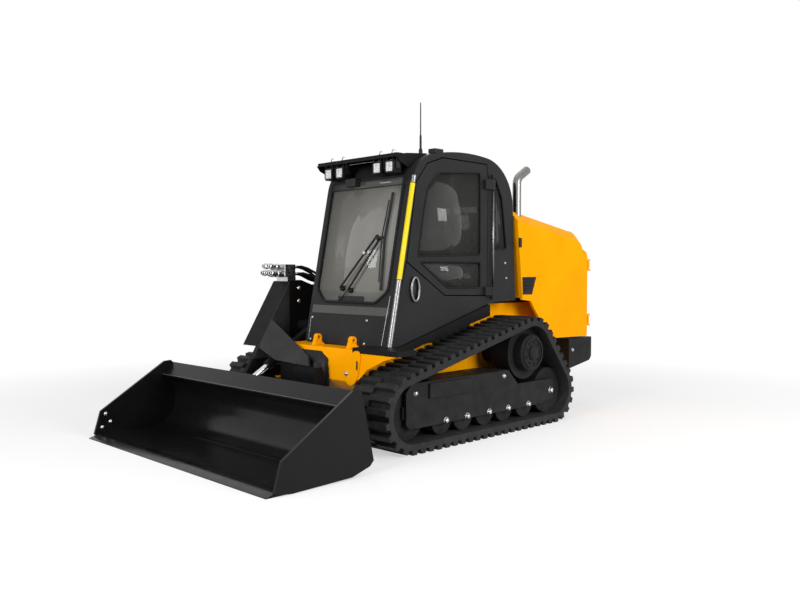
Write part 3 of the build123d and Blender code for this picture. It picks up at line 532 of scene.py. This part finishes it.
# Windshield's rubber, and the dark strip of glass above its opening
SCREEN_RIGHT_X = -0.195
SCREEN_LEFT_X = 0.66
SHOULDER_Z = 1.188
OPENING_TOP_Z = 2.017
SCREEN_TOP_Z = 2.085
PLATE = 0.004
SCREEN_LOOP = ((-0.085, 1.09), (0.535, 1.09), (SCREEN_LEFT_X, SHOULDER_Z), (SCREEN_LEFT_X, SCREEN_TOP_Z),
               (SCREEN_RIGHT_X, SCREEN_TOP_Z), (SCREEN_RIGHT_X, SHOULDER_Z))
HEADER_OUTLINE = ((SCREEN_RIGHT_X, OPENING_TOP_Z), (SCREEN_LEFT_X, OPENING_TOP_Z),
                  (SCREEN_LEFT_X, SCREEN_TOP_Z), (SCREEN_RIGHT_X, SCREEN_TOP_Z))
gasket_path = arc_points([on_front(x, z, 0.003) for x, z in SCREEN_LOOP], 0.04)
Shape().sweep(gasket_path, 0.011, 8, closed=True).piece("windshield_gasket", GASKET, "machine")
front_plate(Shape(), HEADER_OUTLINE, PLATE).piece("windshield_header", HEADER, "machine")

# Yellow bar at the cab's corner, its bright ends, and two thin bars beside the front panel
STRIP_TOP_Z = 2.02
STRIP_SPLIT_Z = 1.276
STRIP_FOOT_Z = 0.765
STRIP_X = CAB_LEFT_X - 0.004
STRIP_IN = 0.014
STRIP_R = 0.02


def pillar_point(z):
    """A point on the corner bar at the cab's front left."""
    return Vector((STRIP_X, front_y(z) + STRIP_IN, z))


Shape().sweep([pillar_point(STRIP_SPLIT_Z), pillar_point(STRIP_TOP_Z)], STRIP_R, 20).piece(
    "pillar_strip", STRIP_YELLOW, "machine", 0.003)
silver = Shape()
silver.sweep([pillar_point(STRIP_FOOT_Z), pillar_point(STRIP_SPLIT_Z - 0.004)], STRIP_R, 20)
silver.sweep([pillar_point(STRIP_TOP_Z + up) for up in (0.003, 0.03, 0.06)], STRIP_R, 20)
front_bar(silver, ((0.672, 0.775, 0.002), (0.692, 1.15, 0.002)), 0.004, 12)
front_bar(silver, ((-0.212, 0.78, 0.001), (-0.224, 0.96, 0.001)), 0.003, 10)
silver.piece("pillar_bar", BAR, "machine", 0.002)

# Band under the windshield, and bolts on the front panel and on the side behind the door
BAND_OUTLINE = ((-0.215, 0.995), (0.7, 0.995), (0.7, 1.06), (-0.215, 1.06))
CAB_BOLT_R = 0.008
front_plate(Shape(), BAND_OUTLINE, PLATE).piece("front_band", BAND_AND_RIM_HIGHLIGHT, "machine", 0.001)
bolts = Shape()
for x, z in ((-0.205, 0.955), (0.468, 0.955), (-0.19, 0.775), (0.474, 0.775)):
    bolts.bolt(on_front(x, z), FRONT_NORMAL, CAB_BOLT_R)
for y, z in ((0.732, 1.412), (0.749, 1.278)):
    bolts.bolt((CAB_LEFT_X, y, z), LEFT, CAB_BOLT_R)
bolts.piece("cab_bolts", ZINC, "machine")

# Wiper: two parallel arms and a blade on the windshield, with the motor's cover behind the glass
ARM_OUT = 0.03
ARM_FEET = ((0.125, 1.2), (0.225, 1.185))
ARM_TIPS = ((0.484, 1.608), (0.517, 1.577))
ARM_BOSS = ((0, 0), (0.022, 0), (0.022, ARM_OUT), (0.013, ARM_OUT + 0.012), (0, ARM_OUT + 0.012))
KNUCKLE_PROFILE = ((0, 0), (0.017, 0), (0.017, 0.022), (0.01, 0.028), (0, 0.028))
MOTOR_OUTLINES = (((0.09, 1.13), (0.36, 1.13), (0.4, 1.24), (0.3, 1.33), (0.16, 1.24)),
                  ((0.06, 1.97), (0.14, 1.97), (0.17, 2.03), (0.15, 2.06), (0.05, 2.06)))
wiper = Shape()
for foot, tip in zip(ARM_FEET, ARM_TIPS):
    front_bar(wiper, ((*foot, ARM_OUT), (*tip, ARM_OUT + 0.01)), 0.009, 10)
    wiper.lathe(ARM_BOSS, on_front(*foot, -0.02), FRONT_NORMAL, 20)
front_bar(wiper, [(*tip, ARM_OUT + 0.01) for tip in ARM_TIPS], 0.018, 10)
front_bar(wiper, ((0.585, 1.19, 0.012), (0.552, 1.6, 0.016), (0.568, 1.955, 0.012)), 0.011, 8)
front_bar(wiper, ((0.572, 1.25, 0.03), (0.544, 1.595, 0.04), (0.556, 1.89, 0.03)), 0.006, 8)
front_bar(wiper, ((0.51, 1.59, ARM_OUT + 0.005), (0.545, 1.6, ARM_OUT)), 0.012, 8)
front_bar(wiper, ((0.215, 1.19, 0.02), (0.15, 1.13, 0.012), (0.1, 1.1, 0.006)), 0.005, 8)
wiper.piece("wiper", TRIM_BLACK, "machine", 0.0015)
knuckle = Shape().lathe(KNUCKLE_PROFILE, on_front(0.37, 1.477, ARM_OUT), FRONT_NORMAL, 20)
knuckle.piece("wiper_knuckle", STEEL, "machine", 0.001)
motor = Shape()
for outline in MOTOR_OUTLINES:
    front_plate(motor, outline, 0.035, -0.06)
motor.box((0.08, -0.62, 1.0), (0.38, -0.52, 1.14))
motor.box((0.04, -0.5, 2.03), (0.16, -0.42, 2.1))
motor.piece("wiper_motor_cover", PLASTIC, "machine", 0.008)

# Lamps under the light bar with their cooling fins, the clips over them and the visor back to the roof
LAMP_XS = (-0.13, 0.01, 0.46, 0.6)
LENS_CORNERS = ((-0.041, 2.109), (0.041, 2.109), (0.041, 2.191), (-0.041, 2.191))
LENS_Y = -0.534
FIN_COUNT = 6
FIN_FOOT_Z = 2.108
FIN_PITCH = 0.015
CHEEK_OUT = 0.056
CLIP_Y = -0.49
CLIP_ARCH = ((-0.018, 2.25), (-0.018, 2.272), (-0.009, 2.285), (0.009, 2.285), (0.018, 2.272), (0.018, 2.25))
VISOR_SECTION = ((-0.53, 2.222), (-0.53, 2.232), (-0.42, 2.2595), (-0.19, 2.279), (-0.19, 2.271),
                 (-0.42, 2.2515))
VISOR_CHEEK = ((-0.53, 2.226), (-0.42, 2.252), (-0.2, 2.27), (-0.33, 2.2), (-0.4, 2.15), (-0.5, 2.19))
VISOR_X = -0.29
VISOR_LENGTH = 0.965
VISOR_CHEEK_WIDTH = 0.008
lenses = Shape()
housings = Shape()
clips = Shape()
for x in LAMP_XS:
    loop = arc_points([(x + aside, LENS_Y, z) for aside, z in LENS_CORNERS], 0.012)
    lenses.prism(loop, FORWARD * 0.004)
    housings.sweep([p + FORWARD * 0.003 for p in loop], 0.006, 8, closed=True)
    for cheek_x in (x - CHEEK_OUT, x + CHEEK_OUT):
        housings.box((cheek_x - 0.003, -0.515, 2.135), (cheek_x + 0.003, -0.475, 2.228))
    for k in range(FIN_COUNT):
        fin_z = FIN_FOOT_Z + FIN_PITCH * k
        housings.box((x - 0.045, -0.462, fin_z), (x + 0.045, -0.448, fin_z + 0.005))
    clips.sweep([(x + aside, CLIP_Y, z) for aside, z in CLIP_ARCH], 0.0045, 8)
lenses.piece("lamp_lenses", LENS_WITH_PAINTED_GLINTS, "machine", 0.002)
housings.piece("lamp_housings", TRIM_BLACK, "machine", 0.001)
clips.piece("lamp_clips", CHROME, "machine")
visor = along_x(Shape(), VISOR_SECTION, VISOR_X, VISOR_LENGTH)
for x in (VISOR_X, VISOR_X + VISOR_LENGTH - VISOR_CHEEK_WIDTH):
    along_x(visor, VISOR_CHEEK, x, VISOR_CHEEK_WIDTH)
visor.piece("lamp_visor", BOOM_BLACK, "machine", 0.0015)

# A small box and the aerial's foot on the roof
AERIAL_PROFILE = ((0.016, 0), (0.016, 0.03), (0.009, 0.05), (0.009, 0.14), (0.005, 0.16), (0.0045, 0.38),
                  (0, 0.38))
roof_items = Shape().box((0.66, -0.16, 2.28), (0.735, -0.06, 2.317))
roof_items.lathe(AERIAL_PROFILE, (0.6, -0.185, 2.28), UP, 20)
roof_items.piece("roof_aerial_base", TRIM_BLACK, "machine", 0.002)

# Rubber round the panes in the cab's left side
DOOR_TOP_PANE = ((-0.370, 1.455), (-0.297, 1.851), (-0.254, 2.007), (-0.132, 2.125), (0.386, 2.165),
                 (0.390, 1.476))
DOOR_LOW_PANE = ((-0.350, 1.415), (0.390, 1.415), (0.390, 1.200), (-0.030, 1.205))
QUARTER_PANE = ((0.585, 2.150), (0.683, 1.967), (0.750, 1.530), (0.585, 1.527))


def pane_rubber(shape, pane):
    """Rubber round a pane given in Y and Z."""
    loop = arc_points([(CAB_LEFT_X + 0.001, y, z) for y, z in pane], 0.03)
    return shape.sweep(loop, 0.007, 8, closed=True)


door_trim = pane_rubber(Shape(), DOOR_TOP_PANE)
pane_rubber(door_trim, DOOR_LOW_PANE).piece("door_gaskets", GASKET, "cab_door")
pane_rubber(Shape(), QUARTER_PANE).piece("quarter_gasket", GASKET, "machine")

# Oval grab ring over its cup on the lower side panel, and the bright sleeve on the door's rod
RING_Y = -0.412
RING_Z = 1.2
OVAL_STEPS = 48
ROD_X = 0.772
ROD_Y = 0.535
ring = oval((CAB_LEFT_X + 0.012, RING_Y, RING_Z), 0.042, 0.092, OVAL_STEPS)
Shape().sweep(ring, 0.011, 12, closed=True).piece("grab_ring", BAR, "machine")
cup = oval((CAB_LEFT_X, RING_Y, RING_Z), 0.036, 0.086, OVAL_STEPS)
Shape().prism(cup, LEFT * 0.004).piece("grab_cup", TRIM_BLACK, "machine")
Shape().sweep([(ROD_X, ROD_Y, 1.21), (ROD_X, ROD_Y, 2.03)], 0.0095, 16).piece(
    "door_rod_sleeve", BAR, "machine")

# Bolts on the track frames, and the cap, ring and bolts on each drive's hub
ROLLER_YS = (-0.302, -0.049, 0.225, 0.479, 0.763)
ROLLER_Z = 0.1953
FRAME_FACE_X = 0.985
FRAME_BOLTS = [(y, ROLLER_Z, 0.019) for y in ROLLER_YS]
FRAME_BOLTS += [(1.095, 0.28, 0.022), (-0.64, 0.44, 0.014), (0.42, 0.47, 0.014)]
HUB_X = 1.03
HUB_Y = 0.765
HUB_Z = 0.64
HUB_CAP = ((0, 0), (0.06, 0), (0.06, 0.012), (0.05, 0.018), (0, 0.018))
HUB_RING = ((0.118, 0), (0.135, 0), (0.135, 0.008), (0.118, 0.008), (0.118, 0))
HUB_BOLT_COUNT = 9
HUB_BOLT_CIRCLE = 0.095
for side, name in ((1, "left"), (-1, "right")):
    outward = (side, 0, 0)
    axles = Shape()
    for y, z, radius in FRAME_BOLTS:
        axles.bolt((side * FRAME_FACE_X, y, z), outward, radius)
    axles.piece(f"axle_bolts_{name}", ZINC, "machine")
    middle = (side * HUB_X, HUB_Y, HUB_Z)
    hub = Shape()
    hub.lathe(HUB_CAP, middle, outward, 40)
    hub.lathe(HUB_RING, middle, outward, 48)
    for spot in oval(middle, HUB_BOLT_CIRCLE, HUB_BOLT_CIRCLE, HUB_BOLT_COUNT):
        hub.bolt(spot, outward, 0.01)
    hub.piece(f"hub_bolts_{name}", FRAME_GREY, "machine", 0.001)

# Slatted vent and latch on the hood's side
HOOD_X = 0.78
VENT_OUTLINE = ((0.943, 1.287), (1.15, 1.287), (1.085, 1.13), (0.952, 1.13))
VENT_PLATE = 0.006
VENT_OUT = 0.014
SLAT_COUNT = 5
SLAT_FRONT_Y = 0.962
vent = along_x(Shape(), VENT_OUTLINE, HOOD_X, VENT_PLATE)
for k in range(SLAT_COUNT):
    slat_z = 1.155 + 0.026 * k
    slat_end_y = 1.08 + 0.01 * k
    vent.prism([(HOOD_X + VENT_PLATE, SLAT_FRONT_Y, slat_z), (HOOD_X + VENT_PLATE, slat_end_y, slat_z),
                (HOOD_X + VENT_OUT, slat_end_y, slat_z + 0.008),
                (HOOD_X + VENT_OUT, SLAT_FRONT_Y, slat_z + 0.008)], UP * 0.006)
vent.piece("hood_vent", TRIM_BLACK, "machine", 0.001)
latch = Shape().box((HOOD_X, 0.885, 1.55), (HOOD_X + 0.014, 0.92, 1.635))
latch.piece("hood_latch", TRIM_BLACK, "machine", 0.003)

# Couplers, their block and the hoses on the boom's knee, and two bolts on the arm's inner face
COUPLER_PROFILE = ((0, 0), (0.017, 0), (0.017, 0.03), (0.027, 0.034), (0.027, 0.066), (0.021, 0.07),
                   (0.021, 0.1), (0.026, 0.104), (0.026, 0.13), (0.018, 0.134), (0.018, 0.15),
                   (0.01, 0.152), (0.01, 0.12), (0, 0.12))
NUT_PROFILE = ((0, 0), (0.02, 0), (0.02, 0.03), (0.015, 0.034), (0.015, 0.06), (0, 0.06))
LOW_ROW_Z = 1.315
HIGH_ROW_Z = 1.375
COUPLERS = ((-0.77, LOW_ROW_Z), (-0.71, LOW_ROW_Z), (-0.65, LOW_ROW_Z), (-0.745, HIGH_ROW_Z),
            (-0.675, HIGH_ROW_Z))
HIGH_HOSE_LIFT = 0.024
HOSE_R = 0.012
HOSE_LIES = ((0.03, -0.18, 1.242), (0.035, -0.08, 1.255), (0.035, 0.1, 1.305), (0.035, 0.4, 1.398),
             (0.035, 1.15, 1.63))
fittings = Shape()
hoses = Shape()
for x, z in COUPLERS:
    fittings.lathe(COUPLER_PROFILE, (x, -0.62, z), (0, -1, 0.06), 28)
    fittings.lathe(NUT_PROFILE, (x, -0.52, z), BACK, 6)
    lift = HIGH_HOSE_LIFT if z == HIGH_ROW_Z else 0.0
    leaving = [(x, -0.46, z), (x, -0.4, z + 0.004), (x + 0.01, -0.34, z - 0.012), (x + 0.02, -0.26, z - 0.05)]
    lying = [(x + aside, y, top_z + lift) for aside, y, top_z in HOSE_LIES]
    hoses.sweep(leaving + lying + [(x + 0.035, 1.2, 1.6)], HOSE_R, 12)
fittings.box((-0.8, -0.625, 1.289), (-0.62, -0.51, 1.4))
fittings.piece("coupler_block", ZINC, "boom", 0.003)
hoses.piece("knee_hoses", GASKET, "boom")
arm_bolts = Shape()
for y, z in ((-0.495, 1.19), (-0.496, 1.075)):
    arm_bolts.bolt((-0.59, y, z), LEFT, 0.012)
arm_bolts.piece("arm_bolts", ZINC, "boom")

# Nose: an ear at its left end with a web under the fender's lip, a thin black sheet on the ear painted as the
# shade in its slot, and a dark cover at its right
NOSE_Y = -0.874
EAR_OUTLINE = ((0.49, 0.6), (0.55, 0.7), (0.585, 0.745), (0.645, 0.745), (0.66, 0.7), (0.635, 0.58),
               (0.6, 0.5), (0.54, 0.47), (0.49, 0.5))
WEB_OUTLINE = ((0.56, 0.5), (0.63, 0.53), (0.72, 0.608), (0.9, 0.69), (1.03, 0.727), (0.56, 0.727))
SLOT_SHADE_OUTLINE = ((0.612, 0.6), (0.63, 0.6), (0.632, 0.672), (0.614, 0.672))
COVER_OUTLINE = ((-0.345, 0.44), (0.262, 0.44), (0.266, 0.655), (0.17, 0.712), (-0.345, 0.712))
EAR_THICKNESS = 0.022
ear = Shape().prism(arc_points(upright(EAR_OUTLINE, NOSE_Y), 0.03), FORWARD * EAR_THICKNESS)
ear.prism(upright(WEB_OUTLINE, NOSE_Y), FORWARD * 0.01)
ear.piece("nose_ear", YELLOW, "machine", 0.004)
# Painted shade: the ear is solid, and a thin black sheet stands in for the shade inside its slot.
slot_shade_y = NOSE_Y - EAR_THICKNESS - 0.0002
dark = Shape().prism(arc_points(upright(SLOT_SHADE_OUTLINE, slot_shade_y), 0.009), FORWARD * 0.0006)
dark.prism(upright(COVER_OUTLINE, -0.86), FORWARD * 0.022)
dark.piece("nose_cover_and_slot_shade", TRIM_BLACK, "machine")

# One bolt on the ear, and one at the machine's rear left corner
nose_bolts = Shape().bolt((0.505, NOSE_Y - EAR_THICKNESS, 0.565), FORWARD, 0.014)
nose_bolts.bolt((0.78, 1.76, 0.579), LEFT, 0.012)
nose_bolts.piece("nose_bolts", ZINC, "machine")

# Inside the cab: the door's middle bar and strut, the seat, the lever grips and a red isolator on a post
door_bar = Shape().box((0.7, 0.052, 1.45), (0.716, 0.09, 2.135))
door_bar.piece("door_inner_bar", TRIM_BLACK, "cab_door", 0.003)
strut = Shape().sweep([(0.715, 0.09, 1.89), (0.715, 0.26, 1.79)], 0.006, 12)
strut.sweep([(0.715, 0.09, 1.89), (0.715, 0.16, 1.85)], 0.011, 12)
strut.piece("door_strut", STEEL, "cab_door")


def cushion(name, low, high, width):
    """A stuffed block with soft edges, in the seat's cloth."""
    obj = Shape().box(low, high).piece(name, SEAT_CLOTH, "machine")
    rounding = obj.modifiers.new("stuffing", "BEVEL")
    rounding.width = width
    rounding.segments = 5


SEAT_X = (-0.06, 0.39)
LEVER_XS = (-0.11, 0.44)
GRIP_PROFILE = ((0.016, 0), (0.022, 0.02), (0.026, 0.06), (0.022, 0.1), (0.012, 0.115), (0, 0.118))
KNOB_PROFILE = ((0, 0), (0.036, 0), (0.04, 0.012), (0.036, 0.03), (0.015, 0.036), (0, 0.036))
cushion("seat_base", (SEAT_X[0], 0.06, 1.15), (SEAT_X[1], 0.44, 1.25), 0.035)
cushion("seat_back", (SEAT_X[0], 0.4, 1.255), (SEAT_X[1], 0.48, 1.62), 0.035)
cushion("head_rest", (0.055, 0.41, 1.64), (0.275, 0.475, 1.8), 0.03)
pedestal = Shape()
pedestal.box((0.005, 0.12, 0.785), (0.325, 0.4, 1.1))
pedestal.box((-0.03, 0.08, 1.1), (0.36, 0.43, 1.152))
for x in (0.12, 0.21):
    pedestal.sweep([(x, 0.445, 1.6), (x, 0.445, 1.66)], 0.007, 12)
for x in LEVER_XS:
    pedestal.lathe(GRIP_PROFILE, (x, -0.06, 1.49), (0, -0.2, 1), 20)
pedestal.sweep([(0.4, 0.72, 1.11), (0.4, 0.72, 1.7)], 0.012, 12)
pedestal.box((0.405, 0.66, 1.56), (0.415, 0.76, 1.72))
holder = pedestal.piece("seat_pedestal", PLASTIC, "machine", 0.004)
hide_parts("seat")
knob = Shape().lathe(KNOB_PROFILE, (0.415, 0.71, 1.645), LEFT, 28)
knob.piece("isolator_knob", RED, "machine", 0.002)

# Bucket: bolts in its sides, a lighter grey rod along its top as a painted highlight on the rim, and a skin
# over the inner face of its curved back, where ribs of the solid come a little way through
SIDE_BOLT_X = 1.204
BUCKET_IN = 1.2035
RIM_Y = -1.488
RIM_Z = 0.461
UPPER_CURVE = ((-1.475, 0.45), (-1.39, 0.36), (-1.372, 0.24))
LOWER_CURVE = ((-1.372, 0.24), (-1.433, 0.091), (-1.58, 0.03))
SKIN = 0.004
bucket_bolts = Shape()
for y, z in ((-1.995, 0.183), (-1.956, 0.114), (-2.025, 0.076)):
    for side in (-1, 1):
        bucket_bolts.bolt((side * SIDE_BOLT_X, y, z), (-side, 0, 0), 0.011)
bucket_bolts.piece("bucket_side_bolts", ZINC, "bucket")
faces_in = three_point_arc(*UPPER_CURVE, SKIN) + three_point_arc(*LOWER_CURVE, SKIN)[1:]
faces_out = three_point_arc(*UPPER_CURVE, -SKIN) + three_point_arc(*LOWER_CURVE, -SKIN)[1:]
skin = along_x(Shape(), faces_in + faces_out[::-1], -BUCKET_IN, 2 * BUCKET_IN)
skin.piece("bucket_skin", BUCKET_BLACK, "bucket", 0.001)
# Painted highlight: a lighter grey rod on the black rim stands in for the light caught by its edge.
rim_highlight = Shape().sweep([(-BUCKET_IN, RIM_Y, RIM_Z), (BUCKET_IN, RIM_Y, RIM_Z)], 0.004, 10)
rim_highlight.piece("bucket_rim_highlight", BAND_AND_RIM_HIGHLIGHT, "bucket", 0.001)

# Floor
FLOOR_HALF = 30.0
FLOOR_CORNERS = [(-FLOOR_HALF, -FLOOR_HALF, 0), (FLOOR_HALF, -FLOOR_HALF, 0), (FLOOR_HALF, FLOOR_HALF, 0),
                 (-FLOOR_HALF, FLOOR_HALF, 0)]
FLOOR_GREY = (0.5, 0.5, 0.5, 1)
FLOOR_GLOW = 0.53
SHADE_TO = 3.2
WHITE_FROM = 6.0


def emission(tree, strength):
    """White light given off by a surface."""
    node = tree.nodes.new("ShaderNodeEmission")
    node.inputs["Strength"].default_value = strength
    return node.outputs[0]


def mix_shader(tree, factor, first, second):
    """Two shaders mixed by a value."""
    node = tree.nodes.new("ShaderNodeMixShader")
    for socket, output in zip(node.inputs, (factor, first, second)):
        tree.links.new(output, socket)
    return node.outputs[0]


def floor_material():
    """A white floor that keeps the shadow near the machine and is plain white further off."""
    mat = bpy.data.materials.new("floor_white")
    mat.use_nodes = True
    tree = mat.node_tree
    tree.nodes.clear()
    out = tree.nodes.new("ShaderNodeOutputMaterial")
    seen = seen_rays(tree)
    diffuse = tree.nodes.new("ShaderNodeBsdfDiffuse")
    diffuse.inputs["Color"].default_value = FLOOR_GREY
    both = tree.nodes.new("ShaderNodeAddShader")
    tree.links.new(diffuse.outputs[0], both.inputs[0])
    glow = mix_shader(tree, seen, emission(tree, 0.0), emission(tree, FLOOR_GLOW))
    tree.links.new(glow, both.inputs[1])
    distance = tree.nodes.new("ShaderNodeVectorMath")
    distance.operation = "LENGTH"
    tree.links.new(place_of(tree), distance.inputs[0])
    far = remap(tree, distance.outputs["Value"], 0.0, 1.0, SHADE_TO, WHITE_FROM)
    white = calculate(tree, "MULTIPLY", far, seen)
    surface = mix_shader(tree, white, both.outputs[0], emission(tree, 1.0))
    tree.links.new(surface, out.inputs["Surface"])
    return mat


floor_mesh = bpy.data.meshes.new("floor")
floor_mesh.from_pydata(FLOOR_CORNERS, [], [(0, 1, 2, 3)])
floor = bpy.data.objects.new("floor", floor_mesh)
bpy.context.scene.collection.objects.link(floor)
floor_mesh.materials.append(floor_material())

# Sky and lamps
SKY_LIGHT = 0.42
SKY_SEEN = 1.0


def background(tree, strength):
    """A white sky of the given strength."""
    node = tree.nodes.new("ShaderNodeBackground")
    node.inputs["Color"].default_value = (1, 1, 1, 1)
    node.inputs["Strength"].default_value = strength
    return node.outputs[0]


world = bpy.data.worlds.new("studio")
bpy.context.scene.world = world
world.use_nodes = True
sky = world.node_tree
sky.nodes.clear()
sky_out = sky.nodes.new("ShaderNodeOutputWorld")
sky_mix = mix_shader(sky, seen_rays(sky), background(sky, SKY_LIGHT), background(sky, SKY_SEEN))
sky.links.new(sky_mix, sky_out.inputs["Surface"])


def area_light(name, place, aim, size, power):
    """A soft square lamp pointed at a spot."""
    data = bpy.data.lights.new(name, "AREA")
    data.size = size
    data.energy = power
    lamp = bpy.data.objects.new(name, data)
    lamp.location = place
    direction = Vector(aim) - Vector(place)
    lamp.rotation_euler = direction.to_track_quat("-Z", "Y").to_euler()
    bpy.context.scene.collection.objects.link(lamp)


area_light("key", (8.0, 0.5, 3.2), (0, 0.4, 1.0), 4.0, 440)
area_light("front", (1.5, -9.0, 3.0), (0, -0.5, 0.8), 4.0, 500)
area_light("top", (-1.0, 1.0, 8.0), (0, 0, 0.8), 5.0, 40)

# Camera at the photograph's place
CAMERA_PLACE = (5.056, -4.875, 1.35)
CAMERA_TILT = 87.85
CAMERA_TURN = 45.0
LENS_MM = 36.0
SENSOR_MM = 36.0
camera_data = bpy.data.cameras.new("camera")
camera_data.lens = LENS_MM
camera_data.sensor_width = SENSOR_MM
camera = bpy.data.objects.new("camera", camera_data)
camera.location = CAMERA_PLACE
camera.rotation_euler = (math.radians(CAMERA_TILT), 0, math.radians(CAMERA_TURN))
bpy.context.scene.collection.objects.link(camera)
bpy.context.scene.camera = camera
bpy.context.scene.view_settings.view_transform = "Standard"

bpy.context.view_layer.update()
